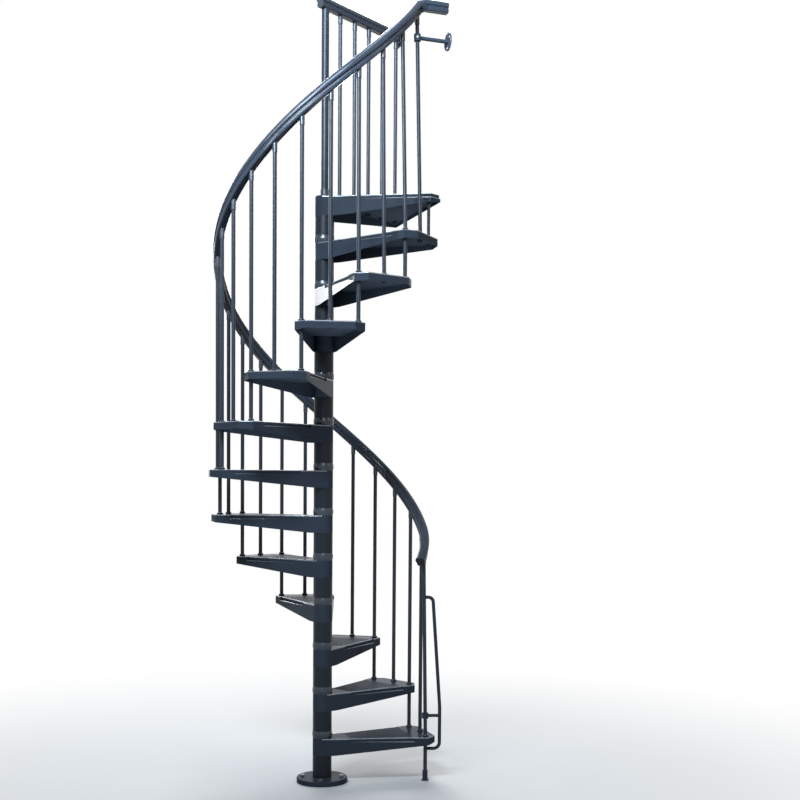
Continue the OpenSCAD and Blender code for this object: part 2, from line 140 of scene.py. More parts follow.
def powderGrainGroup():
    group, inside, outside = shaderGroup("powderGrain", grainLook["inputs"], ["Height", "Clouds"])
    nodes, links = group.nodes, group.links
    peel = noiseNode(nodes, grainLook["peelDetail"], grainLook["peelRoughness"])
    clouds = noiseNode(nodes, grainLook["cloudDetail"], grainLook["cloudRoughness"])
    links.new(inside.outputs["Vector"], peel.inputs["Vector"])
    links.new(inside.outputs["Grain Scale"], peel.inputs["Scale"])
    links.new(inside.outputs["Vector"], clouds.inputs["Vector"])
    links.new(inside.outputs["Cloud Scale"], clouds.inputs["Scale"])
    links.new(peel.outputs["Fac"], outside.inputs["Height"])
    links.new(clouds.outputs["Fac"], outside.inputs["Clouds"])
    return group


# Thin dust and water marks: most on faces that look up, a little on the rest
dustLook = {
    "inputs": {"Spot Scale": 22.0, "Upward": 0.8, "Elsewhere": 0.15},
    "spotDetail": 7.0, "spotRoughness": 0.7, "spotRange": (0.42, 0.72),
    "streakDetail": 3.0, "streakStretch": (60.0, 60.0, 3.5), "streakRange": (0.5, 0.8),
    "upwardRange": (0.6, 0.95), "dulling": 0.22,
}


def outdoorDustGroup():
    group, inside, outside = shaderGroup("outdoorDust", dustLook["inputs"], ["Mask"])
    nodes, links = group.nodes, group.links
    spots = noiseNode(nodes, dustLook["spotDetail"], dustLook["spotRoughness"])
    streaks = noiseNode(nodes, dustLook["streakDetail"])
    stretch = mathNode(nodes, "MULTIPLY", "ShaderNodeVectorMath")
    stretch.inputs[1].default_value = dustLook["streakStretch"]
    spotRamp = rangeNode(nodes, "From", dustLook["spotRange"])
    streakRamp = rangeNode(nodes, "From", dustLook["streakRange"])
    geometry = nodes.new("ShaderNodeNewGeometry")
    split = nodes.new("ShaderNodeSeparateXYZ")
    facing = rangeNode(nodes, "From", dustLook["upwardRange"])
    amount = nodes.new("ShaderNodeMix")
    both = mathNode(nodes, "MAXIMUM")
    scaled = mathNode(nodes, "MULTIPLY")
    links.new(inside.outputs["Vector"], spots.inputs["Vector"])
    links.new(inside.outputs["Spot Scale"], spots.inputs["Scale"])
    links.new(inside.outputs["Vector"], stretch.inputs[0])
    links.new(stretch.outputs["Vector"], streaks.inputs["Vector"])
    links.new(spots.outputs["Fac"], spotRamp.inputs["Value"])
    links.new(streaks.outputs["Fac"], streakRamp.inputs["Value"])
    links.new(geometry.outputs["Normal"], split.inputs["Vector"])
    links.new(split.outputs["Z"], facing.inputs["Value"])
    links.new(facing.outputs["Result"], amount.inputs["Factor"])
    links.new(inside.outputs["Elsewhere"], amount.inputs["A"])
    links.new(inside.outputs["Upward"], amount.inputs["B"])
    links.new(spotRamp.outputs["Result"], both.inputs[0])
    links.new(streakRamp.outputs["Result"], both.inputs[1])
    links.new(both.outputs["Value"], scaled.inputs[0])
    links.new(amount.outputs["Result"], scaled.inputs[1])
    links.new(scaled.outputs["Value"], outside.inputs["Mask"])
    return group


powderGrain = powderGrainGroup()
outdoorDust = outdoorDustGroup()


def coatMaterial(values):
    # One coated finish: base colour clouded towards a second one, dust over it, grain as bump
    material = bpy.data.materials.new(values["name"])
    material.use_nodes = True
    nodes, links = material.node_tree.nodes, material.node_tree.links
    shader = nodes["Principled BSDF"]
    shader.inputs["Metallic"].default_value = values["metallic"]
    shader.inputs["IOR"].default_value = values["ior"]
    place = nodes.new("ShaderNodeTexCoord")
    grain = nodes.new("ShaderNodeGroup")
    grain.node_tree = powderGrain
    grain.inputs["Grain Scale"].default_value = values["grainScale"]
    grain.inputs["Cloud Scale"].default_value = values["cloudScale"]
    dust = nodes.new("ShaderNodeGroup")
    dust.node_tree = outdoorDust
    dust.inputs["Spot Scale"].default_value = values["spotScale"]
    dust.inputs["Upward"].default_value = values["dustUp"]
    dust.inputs["Elsewhere"].default_value = values["dustSide"]
    body = colourMix(nodes, values["colour"], values["cloudColour"])
    dusted = colourMix(nodes, None, values["dustColour"])
    rough = rangeNode(nodes, "To", values["roughness"])
    roughDust = mathNode(nodes, "MULTIPLY_ADD")
    roughDust.inputs[1].default_value = dustLook["dulling"]
    bump = nodes.new("ShaderNodeBump")
    bump.inputs["Strength"].default_value = values["bump"]
    bump.inputs["Distance"].default_value = values["bumpDepth"]
    links.new(place.outputs["Object"], grain.inputs["Vector"])
    links.new(place.outputs["Object"], dust.inputs["Vector"])
    links.new(grain.outputs["Clouds"], body.inputs["Factor"])
    links.new(body.outputs["Result"], dusted.inputs["A"])
    links.new(dust.outputs["Mask"], dusted.inputs["Factor"])
    links.new(dusted.outputs["Result"], shader.inputs["Base Color"])
    links.new(grain.outputs["Clouds"], rough.inputs["Value"])
    links.new(dust.outputs["Mask"], roughDust.inputs[0])
    links.new(rough.outputs["Result"], roughDust.inputs[2])
    links.new(roughDust.outputs["Value"], shader.inputs["Roughness"])
    links.new(grain.outputs["Height"], bump.inputs["Height"])
    links.new(bump.outputs["Normal"], shader.inputs["Normal"])
    return material


steelCoat = coatMaterial({
    "name": "steelPowderCoat", "colour": (0.0185, 0.0245, 0.0345), "cloudColour": (0.025, 0.032, 0.044),
    "dustColour": (0.075, 0.08, 0.088), "metallic": 0.0, "ior": 1.07,
    "roughness": (0.18, 0.25), "grainScale": 700.0, "cloudScale": 6.0, "spotScale": 20.0,
    "dustUp": 0.22, "dustSide": 0.03, "bump": 0.05, "bumpDepth": 0.0004,
})
# Coat for faces that look down or into a tread's hollow: lighter and bluer than the steel, painted bounce
# light in place of shade
undersideCoat = coatMaterial({
    "name": "undersideCoat", "colour": (0.046, 0.061, 0.087), "cloudColour": (0.058, 0.076, 0.106),
    "dustColour": (0.05, 0.054, 0.06), "metallic": 0.0, "ior": 1.04,
    "roughness": (0.52, 0.64), "grainScale": 600.0, "cloudScale": 8.0, "spotScale": 26.0,
    "dustUp": 0.1, "dustSide": 0.05, "bump": 0.08, "bumpDepth": 0.0005,
})
# Coat for the rounded edges: lighter than the steel, partly wear and partly a painted highlight of the bright
# folds
wornEdgeHighlightCoat = coatMaterial({
    "name": "wornEdgeCoat", "colour": (0.092, 0.104, 0.122), "cloudColour": (0.17, 0.186, 0.208),
    "dustColour": (0.17, 0.173, 0.175), "metallic": 0.45, "ior": 1.5,
    "roughness": (0.15, 0.24), "grainScale": 700.0, "cloudScale": 26.0, "spotScale": 40.0,
    "dustUp": 0.2, "dustSide": 0.04, "bump": 0.04, "bumpDepth": 0.0004,
})
plateCoat = coatMaterial({
    "name": "platePowderCoat", "colour": (0.017, 0.0225, 0.0315), "cloudColour": (0.0245, 0.031, 0.042),
    "dustColour": (0.075, 0.077, 0.078), "metallic": 0.0, "ior": 1.06,
    "roughness": (0.42, 0.54), "grainScale": 420.0, "cloudScale": 5.0, "spotScale": 34.0,
    "dustUp": 0.35, "dustSide": 0.04, "bump": 0.2, "bumpDepth": 0.0006,
})
railCover = coatMaterial({
    "name": "railCover", "colour": (0.012, 0.0165, 0.024), "cloudColour": (0.0165, 0.022, 0.0315),
    "dustColour": (0.05, 0.053, 0.058), "metallic": 0.0, "ior": 1.26,
    "roughness": (0.11, 0.16), "grainScale": 500.0, "cloudScale": 9.0, "spotScale": 30.0,
    "dustUp": 0.12, "dustSide": 0.03, "bump": 0.03, "bumpDepth": 0.0004,
})
capMatt = coatMaterial({
    "name": "capMatt", "colour": (0.0135, 0.016, 0.02), "cloudColour": (0.019, 0.022, 0.027),
    "dustColour": (0.06, 0.06, 0.056), "metallic": 0.0, "ior": 1.25,
    "roughness": (0.45, 0.6), "grainScale": 700.0, "cloudScale": 12.0, "spotScale": 30.0,
    "dustUp": 0.2, "dustSide": 0.05, "bump": 0.1, "bumpDepth": 0.0005,
})
collarCoat = coatMaterial({
    "name": "collarGlossCoat", "colour": (0.022, 0.028, 0.038), "cloudColour": (0.032, 0.039, 0.051),
    "dustColour": (0.08, 0.08, 0.078), "metallic": 0.15, "ior": 1.4,
    "roughness": (0.2, 0.28), "grainScale": 700.0, "cloudScale": 14.0, "spotScale": 30.0,
    "dustUp": 0.2, "dustSide": 0.04, "bump": 0.04, "bumpDepth": 0.0004,
})
headMetal = coatMaterial({
    "name": "headMetal", "colour": (0.026, 0.032, 0.043), "cloudColour": (0.04, 0.047, 0.06),
    "dustColour": (0.09, 0.09, 0.088), "metallic": 0.3, "ior": 1.4,
    "roughness": (0.24, 0.34), "grainScale": 700.0, "cloudScale": 40.0, "spotScale": 40.0,
    "dustUp": 0.2, "dustSide": 0.08, "bump": 0.04, "bumpDepth": 0.0004,
})
tubeCoat = coatMaterial({
    "name": "tubeCoat", "colour": (0.0145, 0.019, 0.027), "cloudColour": (0.02, 0.026, 0.036),
    "dustColour": (0.065, 0.07, 0.078), "metallic": 0.0, "ior": 1.25,
    "roughness": (0.3, 0.37), "grainScale": 700.0, "cloudScale": 6.0, "spotScale": 20.0,
    "dustUp": 0.2, "dustSide": 0.03, "bump": 0.03, "bumpDepth": 0.0004,
})
# The column's coat is darker than the rest of the steel: painted shade on the column, which stands in the
# stair's shade
columnCoat = coatMaterial({
    "name": "columnCoat", "colour": (0.0085, 0.0115, 0.0165), "cloudColour": (0.012, 0.0155, 0.022),
    "dustColour": (0.05, 0.054, 0.06), "metallic": 0.0, "ior": 1.22,
    "roughness": (0.27, 0.34), "grainScale": 700.0, "cloudScale": 6.0, "spotScale": 20.0,
    "dustUp": 0.2, "dustSide": 0.03, "bump": 0.03, "bumpDepth": 0.0004,
})
boltZinc = coatMaterial({
    "name": "boltZinc", "colour": (0.3, 0.31, 0.33), "cloudColour": (0.48, 0.49, 0.5),
    "dustColour": (0.12, 0.11, 0.1), "metallic": 0.95, "ior": 1.45,
    "roughness": (0.3, 0.5), "grainScale": 1400.0, "cloudScale": 120.0, "spotScale": 160.0,
    "dustUp": 0.4, "dustSide": 0.25, "bump": 0.15, "bumpDepth": 0.0003,
})
print("finishes made")

# Which finish each slot of the CAD model gets, and the nodes that have one of their own
finishOf = {
    "stair_steel": steelCoat, "step_plate": plateCoat, "rail_cover": railCover, "rail_cap": capMatt,
}
ownFinish = {
    "column_collars": collarCoat, "baluster_heads": headMetal, "column_spacers": columnCoat,
    "centre_pole": columnCoat, "mid_balusters": tubeCoat, "corner_balusters": tubeCoat,
    "guard_balusters": tubeCoat, "support_leg": tubeCoat, "landing_strut": tubeCoat,
}
slotOf = {row["node"]: row["material_slot"] for row in frame["record"]["subparts"]}


def finishFor(nodeName):
    return ownFinish.get(nodeName, finishOf[slotOf[nodeName]])


for nodeName, node in frame["nodes"].items():
    node.data.materials.clear()
    node.data.materials.append(finishFor(nodeName))
print("frame finished:", len(frame["nodes"]), "nodes")


# Modelling helpers

def deselectAll():
    if bpy.context.object and bpy.context.object.mode != "OBJECT":
        bpy.ops.object.mode_set(mode="OBJECT")
    bpy.ops.object.select_all(action="DESELECT")


def chooseOnly(piece):
    deselectAll()
    piece.select_set(True)
    bpy.context.view_layer.objects.active = piece


def pickFaces(piece, test):
    # in edit mode, selects only the faces whose normal passes the test
    bpy.ops.mesh.select_all(action="DESELECT")
    shape = bmesh.from_edit_mesh(piece.data)
    for face in shape.faces:
        face.select_set(test(face.normal))
    bmesh.update_edit_mesh(piece.data)


def mergePoints(distance):
    # in edit mode, over the whole mesh; the distance is in millimetres
    bpy.ops.mesh.select_all(action="SELECT")
    bpy.ops.mesh.remove_doubles(threshold=distance * mm)


def applyModifier(piece, kind, **values):
    chooseOnly(piece)
    bpy.ops.object.modifier_add(type=kind)
    modifier = piece.modifiers[-1]
    for key, value in values.items():
        setattr(modifier, key, value)
    bpy.ops.object.modifier_apply(modifier=modifier.name)


def smoothShade(piece, angle):
    chooseOnly(piece)
    bpy.ops.object.shade_smooth_by_angle(angle=math.radians(angle))


def newObject(name, data):
    piece = bpy.data.objects.new(name, data)
    bpy.context.scene.collection.objects.link(piece)
    return piece


def joinPieces(pieces, name):
    deselectAll()
    for piece in pieces:
        piece.select_set(True)
    bpy.context.view_layer.objects.active = pieces[0]
    bpy.ops.object.join()
    pieces[0].name = name
    return pieces[0]


def spreadCopies(model, places, name):
    # one copy of the model, with its own mesh, at each place; the model itself goes
    copies = []
    for place in places:
        twin = newObject(model.name, model.data.copy())
        twin.data.transform(place)
        copies.append(twin)
    bpy.data.objects.remove(model)
    return joinPieces(copies, name)


def finishPiece(piece, material):
    piece.data.materials.clear()
    piece.data.materials.append(material)
    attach(piece, "root")


# Softened copies of the steel pieces: real folded and cut steel has small round edges.
# Lengths are in millimetres and angles in degrees; looksUp, looksIn and hubLooksOut are parts of a normal.
edgeRules = {
    "mergeWithin": 0.02, "flatWithin": 0.3, "sharpAngle": 38, "levelWithin": 0.1, "longEdge": 30,
    "looksUp": 0.9, "seamMargin": 20, "ledgeWithin": 0.5, "foldSegments": 4, "cutSegments": 2,
    "sheetSmooth": 60, "barSmooth": 35,
}
hollowRules = {"looksIn": 0.5, "tipFrom": 300, "hubLooksOut": 0.2, "hubWithin": 56}
# worn is the lighter edge coat (painted highlight and some wear), hollow the lighter underside coat (painted
# bounce light)
coatIndex = {"worn": 1, "hollow": 2}  # in the copy's list of materials, after its own finish


def mergedCopy(nodeName, suffix):
    chooseOnly(frame["nodes"][nodeName])
    bpy.ops.object.duplicate()
    twin = bpy.context.object
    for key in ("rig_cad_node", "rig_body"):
        if key in twin:
            del twin[key]
    twin.name = nodeName + suffix
    bpy.ops.mesh.customdata_custom_splitnormals_clear()
    bpy.ops.object.mode_set(mode="EDIT")
    mergePoints(edgeRules["mergeWithin"])
    bpy.ops.mesh.dissolve_limited(angle_limit=math.radians(edgeRules["flatWithin"]))
    bpy.ops.object.mode_set(mode="OBJECT")
    return twin


def standIn(twin, nodeName):
    # the finished copy takes the CAD node's place
    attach(twin, "root")
    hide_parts(nodeName)


def besideSeam(ends):
    # true for the edges along the seams across a tread or the landing, where feet don't reach
    step = round((ends[0].z / mm + stair["plateThickness"] / 2) / stair["rise"])
    turn = azimuthOf(step) if step <= stair["treadCount"] else 0
    along = [corner.x * math.cos(turn) + corner.y * math.sin(turn) for corner in ends]
    seamEnd = (stair["blockStart"] + edgeRules["seamMargin"]) * mm
    return abs(along[0] - along[1]) < mm and max(along) < seamEnd


def isCovered(middle, soft):
    # on the tread's ledge under its end block, where nothing is rounded
    onLedge = "ledge" in soft and abs(middle.z - soft["ledge"] * mm) < edgeRules["ledgeWithin"] * mm
    return onLedge and middle.to_2d().length > stair["blockStart"] * mm


def isSharp(edge, soft):
    sharp = len(edge.link_faces) == 2 and edge.calc_face_angle() > math.radians(edgeRules["sharpAngle"])
    return sharp and not isCovered((edge.verts[0].co + edge.verts[1].co) / 2, soft)


def isFolded(edge):
    # a long, level and convex edge of a face that looks up
    ends = [corner.co for corner in edge.verts]
    level = abs(ends[0].z - ends[1].z) < edgeRules["levelWithin"] * mm
    if not (level and edge.is_convex and edge.calc_length() > edgeRules["longEdge"] * mm):
        return False
    return max(face.normal.z for face in edge.link_faces) > edgeRules["looksUp"] and not besideSeam(ends)


def markEdges(piece, soft, folds):
    # weight 1 on the folded top edges, or else on every sharp edge that is left
    shape = bmesh.from_edit_mesh(piece.data)
    layers = shape.edges.layers.float
    weight = layers.get("bevel_weight_edge") or layers.new("bevel_weight_edge")
    for edge in shape.edges:
        edge[weight] = float(isSharp(edge, soft) and (not folds or isFolded(edge)))
    bmesh.update_edit_mesh(piece.data)


def isInside(face, turn):
    # a wall of the folded tread seen from its hollow side: it faces the tread's own middle line
    inward = Matrix.Rotation(-turn, 3, "Z")
    middle, normal = inward @ face.center, inward @ face.normal
    sideWall = abs(normal.y) > hollowRules["looksIn"] and normal.y * middle.y < 0
    tipWall = normal.x < -hollowRules["looksIn"] and middle.x > hollowRules["tipFrom"] * mm
    nearHub = middle.to_2d().length < hollowRules["hubWithin"] * mm
    return sideWall or tipWall or (nearHub and normal.x > hollowRules["hubLooksOut"])


def paintLightOnUnderside(piece, turn):
    # the faces that look down or inwards get a lighter, bluer coat: painted bounce light that lifts the shade
    # under and inside the tread
    piece.data.materials.append(undersideCoat)
    for face in piece.data.polygons:
        if face.normal.z < -hollowRules["looksIn"] or isInside(face, turn):
            face.material_index = coatIndex["hollow"]


def bevelMarked(piece, width, segments, worn, clamped):
    bpy.ops.object.mode_set(mode="OBJECT")
    # with worn, the rounded faces take the lighter edge coat: a painted highlight with some wear
    applyModifier(
        piece, "BEVEL", width=width * mm, segments=segments, limit_method="WEIGHT", use_clamp_overlap=clamped,
        material=coatIndex["worn"] if worn else -1, miter_outer="MITER_ARC")


def softenedCopy(nodeName, soft):
    twin = mergedCopy(nodeName, "_softened")
    twin.data.materials.append(wornEdgeHighlightCoat)
    if "hollow" in soft:
        paintLightOnUnderside(twin, soft["hollow"])
    bpy.ops.object.mode_set(mode="EDIT")
    if "bisectAt" in soft:
        bpy.ops.mesh.select_all(action="SELECT")
        bpy.ops.mesh.bisect(plane_co=soft["bisectAt"][0], plane_no=soft["bisectAt"][1])
    if "fold" in soft:
        markEdges(twin, soft, True)
        bevelMarked(twin, soft["fold"], edgeRules["foldSegments"], True, False)
        bpy.ops.object.mode_set(mode="EDIT")
    markEdges(twin, soft, False)
    bevelMarked(twin, soft["cut"], edgeRules["cutSegments"], soft.get("worn", False), True)
    smoothShade(twin, edgeRules["sheetSmooth"])
    applyModifier(twin, "WEIGHTED_NORMAL", keep_sharp=True)
    standIn(twin, nodeName)


def roundedCopy(nodeName):
    # round bars and tubes: the facets of the solid shaded as one smooth wall
    twin = mergedCopy(nodeName, "_rounded")
    smoothShade(twin, edgeRules["barSmooth"])
    standIn(twin, nodeName)


# Rounding of the folded top edges, whose rounded faces take the lighter edge coat (some wear and a painted
# highlight), and of the cut edges
softening = {
    "base_plate": {"cut": 1.0, "worn": True}, "walking_plates": {"fold": 4.4, "cut": 1.4},
    "end_blocks": {"fold": 4.4, "cut": 1.0}, "landing_frame": {"fold": 5.6, "cut": 0.6, "hollow": 0},
    "landing_plate": {"fold": 4.4, "cut": 1.4}, "guard_flange": {"cut": 1.2, "worn": True},
    "wall_flange": {"cut": 1.2, "worn": True}, "guard_rail": {"cut": 1.2}, "handrail_end": {"cut": 1.2},
    "rail_end_caps": {"cut": 1.0}, "wall_arm": {"cut": 0.8}, "loop_tie": {"cut": 0.8},
    "baluster_collars": {"cut": 1.2, "worn": True}, "baluster_heads": {"cut": 0.5},
}
for step in treadSteps:
    blockEdge = radialPlace(step, stair["blockStart"], 0)
    softening[f"tread_{step:02d}"] = {
        "fold": 5.6, "cut": 0.6, "hollow": azimuthOf(step),
        "ledge": step * stair["rise"] - stair["plateThickness"],
        "bisectAt": (blockEdge.to_translation(), blockEdge.to_3x3() @ Vector((1, 0, 0))),
    }
roundBars = [
    "mid_balusters", "corner_balusters", "support_leg", "guard_balusters", "landing_strut",
    "column_spacers", "column_collars", "centre_pole",
]
for nodeName, soft in softening.items():
    softenedCopy(nodeName, soft)
for nodeName in roundBars:
    roundedCopy(nodeName)
print("edges softened:", len(softening), "pieces, and", len(roundBars), "smoothed")


# Swept pieces: a path curve with a section drawn round it

def polyCurve(name, points, dimensions):
    data = bpy.data.curves.new(name, "CURVE")
    data.dimensions = dimensions
    spline = data.splines.new("POLY")
    spline.points.add(len(points) - 1)
    for knot, point in zip(spline.points, points):
        knot.co = (*point, 1)
    return newObject(name, data)


def pathCurve(name, points, twist):
    piece = polyCurve(name, points, "3D")
    piece.data.twist_mode = twist
    piece.data.use_fill_caps = True
    return piece


def sectionCurve(name, points):
    piece = polyCurve(name, [(*point, 0) for point in points], "2D")
    piece.data.fill_mode = "NONE"
    piece.data.splines[0].use_cyclic_u = True
    return piece


def curveToMesh(piece, values):
    chooseOnly(piece)
    bpy.ops.object.convert(target="MESH")
    bpy.ops.object.mode_set(mode="EDIT")
    mergePoints(values["mergeWithin"])
    bpy.ops.mesh.normals_make_consistent(inside=False)
    bpy.ops.object.mode_set(mode="OBJECT")
    smoothShade(piece, values["smooth"])


# Handrail: one helical length of moulded cover with ridges along it, drawn in at both ends
rail = {
    "height": 1072, "tall": 58, "first": 0.32, "last": 12.1, "rings": 460, "mergeWithin": 0.02, "smooth": 40,
    "lowCurl": 30, "lowCurlEnd": 1.0, "highCurl": 27, "highCurlStart": 9.6, "highCurlEnd": 11.6,
    # half width, part of the height, and how far the corner's rounding reaches
    "half": [(16, 0, 4), (20, 0.08, 3), (21, 0.28, 1.3), (18, 0.34, 1.5), (18, 0.43, 2), (24, 0.51, 1.6),
             (24.5, 0.67, 4), (20, 0.85, 5), (11, 0.96, 5)],
    "crownReach": 4, "cornerShare": 0.45,
}


def railPull(place):
    # how far the rail is drawn in from the balusters' ring, in millimetres
    low = max(rail["lowCurlEnd"] - place, 0) / (rail["lowCurlEnd"] - rail["first"])
    high = (place - rail["highCurlStart"]) / (rail["highCurlEnd"] - rail["highCurlStart"])
    high = min(max(high, 0), 1)
    return rail["lowCurl"] * low ** 2 + rail["highCurl"] * high ** 2 * (3 - 2 * high)


def railPoint(place):
    radius = stair["balusterRing"] - railPull(place)
    turn = azimuthOf(place)
    height = place * stair["rise"] + rail["height"]
    return Vector((radius * math.cos(turn), radius * math.sin(turn), height)) * mm


def roundedOutline(corners):
    # each corner (x, y, reach) becomes three points of a small curve
    outline = []
    count = len(corners)
    for index, (x, y, reach) in enumerate(corners):
        here = Vector((x, y))
        before = Vector(corners[index - 1][:2]) - here
        after = Vector(corners[(index + 1) % count][:2]) - here
        toward = here + before.normalized() * min(reach, before.length * rail["cornerShare"])
        away = here + after.normalized() * min(reach, after.length * rail["cornerShare"])
        outline += [toward, toward * 0.25 + here * 0.5 + away * 0.25, away]
    return outline


def railSection():
    right = [(wide, part * rail["tall"], reach) for wide, part, reach in rail["half"]]
    left = [(-wide, height, reach) for wide, height, reach in right]
    crown = [(0, rail["tall"], rail["crownReach"])]
    return roundedOutline(left + crown + right[::-1])


def makeHandrail():
    span = rail["last"] - rail["first"]
    places = [rail["first"] + span * ring / rail["rings"] for ring in range(rail["rings"] + 1)]
    path = pathCurve("handrail_cover", [railPoint(place) for place in places], "Z_UP")
    section = sectionCurve("railSection", [point * mm for point in railSection()])
    path.data.bevel_mode = "OBJECT"
    path.data.bevel_object = section
    curveToMesh(path, rail)
    bpy.data.objects.remove(section)
    finishPiece(path, railCover)
    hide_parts("handrail")
    print("handrail swept:", len(path.data.polygons), "faces")


makeHandrail()

# Foot loop: a bent tube beside the lowest post
loop = {
    "place": 0.5, "diameter": 18, "top": 975, "bottom": 170, "reach": 75, "bend": 390, "lean": 41,
    "freeFrom": 244, "slimmer": 0.3, "topBend": 26, "middleBend": 600, "bottomBend": 32,
    "bendSteps": 14, "middleSteps": 10, "roundness": 8, "mergeWithin": 0.02, "smooth": 60,
}


def bendPoints(corners, radius, count):
    # the points of a round bend at the middle one of three corners
    before, corner, after = corners
    u = (before - corner).normalized()
    v = (after - corner).normalized()
    half = u.angle(v) / 2
    centre = corner + (u + v).normalized() * radius / math.sin(half)
    start = corner + u * radius / math.tan(half) - centre
    end = corner + v * radius / math.tan(half) - centre
    sweep = -start.angle_signed(end)
    return [centre + Matrix.Rotation(sweep * step / count, 2) @ start for step in range(count + 1)]


def leanIn(place, fromHeight, height):
    # how far a baluster that leans in to the rail has come in at a height
    railZ = place * stair["rise"] + rail["height"]
    return railPull(place) * (height - fromHeight) / (railZ - fromHeight)


def makeFootLoop():
    rod = stair["balusterRadius"]
    innerTop = rod - loop["slimmer"] - leanIn(loop["place"], loop["freeFrom"], loop["top"])
    corners = [
        Vector((innerTop, loop["top"])), Vector((loop["reach"] - loop["lean"], loop["top"])),
        Vector((loop["reach"], loop["bend"])), Vector((loop["reach"], loop["bottom"])),
        Vector((rod, loop["bottom"])),
    ]
    outline = [corners[0]]
    outline += bendPoints(corners[0:3], loop["topBend"], loop["bendSteps"])
    outline += bendPoints(corners[1:4], loop["middleBend"], loop["middleSteps"])
    outline += bendPoints(corners[2:5], loop["bottomBend"], loop["bendSteps"])
    outline.append(corners[4])
    toWorld = radialPlace(loop["place"], stair["balusterRing"], 0)
    points = [toWorld @ Vector((point.x * mm, 0, point.y * mm)) for point in outline]
    tube = pathCurve("foot_loop_tube", points, "MINIMUM")
    tube.data.bevel_depth = loop["diameter"] / 2 * mm
    tube.data.bevel_resolution = loop["roundness"]
    curveToMesh(tube, loop)
    finishPiece(tube, steelCoat)
    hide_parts("foot_loop")


makeFootLoop()
print("foot loop bent")

# Small hardware, each kind modelled once and copied. The hexagon's inset, corners and drop are parts of
# its width, its half width and its height; all else is in millimetres and degrees.
hardware = {
    "mergeWithin": 0.01, "smooth": 35, "washerRounding": 0.5, "hexLooksUp": 0.9, "hexInset": 0.07,
    "hexCorner": 0.98, "hexDrop": 0.1, "hexRounding": 0.3, "hexSegments": 2, "hexAngle": 25, "hexSmooth": 30,
}


def turnedPiece(name, outline, steps):
    # an outline of (radius, height) in millimetres, spun round the upright axis
    mesh = bpy.data.meshes.new(name)
    points = [(radius * mm, 0, height * mm) for radius, height in outline]
    mesh.from_pydata(points, [(start, start + 1) for start in range(len(points) - 1)], [])
    piece = newObject(name, mesh)
    chooseOnly(piece)
    bpy.ops.object.mode_set(mode="EDIT")
    bpy.ops.mesh.select_all(action="SELECT")
    bpy.ops.mesh.spin(steps=steps, angle=math.tau, center=(0, 0, 0), axis=(0, 0, 1))
    mergePoints(hardware["mergeWithin"])
    bpy.ops.mesh.normals_make_consistent(inside=False)
    bpy.ops.object.mode_set(mode="OBJECT")
    smoothShade(piece, hardware["smooth"])
    return piece


def hexPiece(name, across, height, base):
    # hexagon with chamfered corners at both faces, standing on z = base
    middle = (base + height / 2) * mm
    bpy.ops.mesh.primitive_cylinder_add(
        vertices=6, radius=across / math.sqrt(3) * mm, depth=height * mm, location=(0, 0, middle))
    piece = bpy.context.object
    piece.name = name
    bpy.ops.object.transform_apply(location=True, rotation=True, scale=True)
    bpy.ops.object.mode_set(mode="EDIT")
    for side in (1, -1):
        pickFaces(piece, lambda normal: normal.z * side > hardware["hexLooksUp"])
        bpy.ops.mesh.inset(thickness=across * hardware["hexInset"] * mm, depth=0)
    cornerFrom = across / 2 * hardware["hexCorner"] * mm
    drop = height * hardware["hexDrop"] * mm
    shape = bmesh.from_edit_mesh(piece.data)
    for corner in shape.verts:
        if corner.co.to_2d().length > cornerFrom:
            corner.co.z += -drop if corner.co.z > middle else drop
    bmesh.update_edit_mesh(piece.data)
    bpy.ops.object.mode_set(mode="OBJECT")
    applyModifier(
        piece, "BEVEL", width=hardware["hexRounding"] * mm, segments=hardware["hexSegments"],
        limit_method="ANGLE", angle_limit=math.radians(hardware["hexAngle"]))
    smoothShade(piece, hardware["hexSmooth"])
    return piece


def washerOutline(radius, thick):
    edge = min(hardware["washerRounding"], thick / 3)
    low = [(0, 0), (radius - edge, 0), (radius, edge)]
    return low + [(radius, thick - edge), (radius - edge, thick), (0, thick)]


# Anchors of the base plate: coated hexagon bolts on washers
anchor = {
    "circleRadius": 103, "plateTop": 26, "firstAzimuth": 70, "count": 4, "washerRadius": 12,
    "washerThick": 2.5, "washerSteps": 32, "headAcross": 19, "headHeight": 8,
}


def makeAnchors():
    washer = turnedPiece(
        "anchorWasher", washerOutline(anchor["washerRadius"], anchor["washerThick"]), anchor["washerSteps"])
    head = hexPiece("anchorHead", anchor["headAcross"], anchor["headHeight"], anchor["washerThick"])
    model = joinPieces([washer, head], "anchorModel")
    turns = [anchor["firstAzimuth"] + 360 / anchor["count"] * index for index in range(anchor["count"])]
    places = [turnBy(turn, "Z") @ moveBy(anchor["circleRadius"], 0, anchor["plateTop"]) for turn in turns]
    finishPiece(spreadCopies(model, places, "base_anchors"), wornEdgeHighlightCoat)


makeAnchors()

# Nuts that hold the balusters under the treads, with a washer above and the threaded end below
rodNut = {
    "across": 26, "height": 9.4, "washerRadius": 17, "washerThick": 1.6, "washerSteps": 28,
    "threadRadius": 10.15, "threadDrop": 3.8, "threadSteps": 20, "threadChamfer": 1,
    "pitch": 1.5, "pitchDepth": 0.4,  # the thread's depth is a part of its pitch
}
guard = {"azimuth": 32, "pitch": 116, "count": 5}


def threadOutline(bottom, top):
    radius, chamfer, pitch = rodNut["threadRadius"], rodNut["threadChamfer"], rodNut["pitch"]
    outline = [(0, top), (radius - chamfer, top), (radius, top - chamfer)]
    height = top - chamfer
    while height - pitch > bottom:
        outline += [(radius - pitch * rodNut["pitchDepth"], height - pitch / 2), (radius, height - pitch)]
        height -= pitch
    return outline + [(radius, bottom), (0, bottom)]


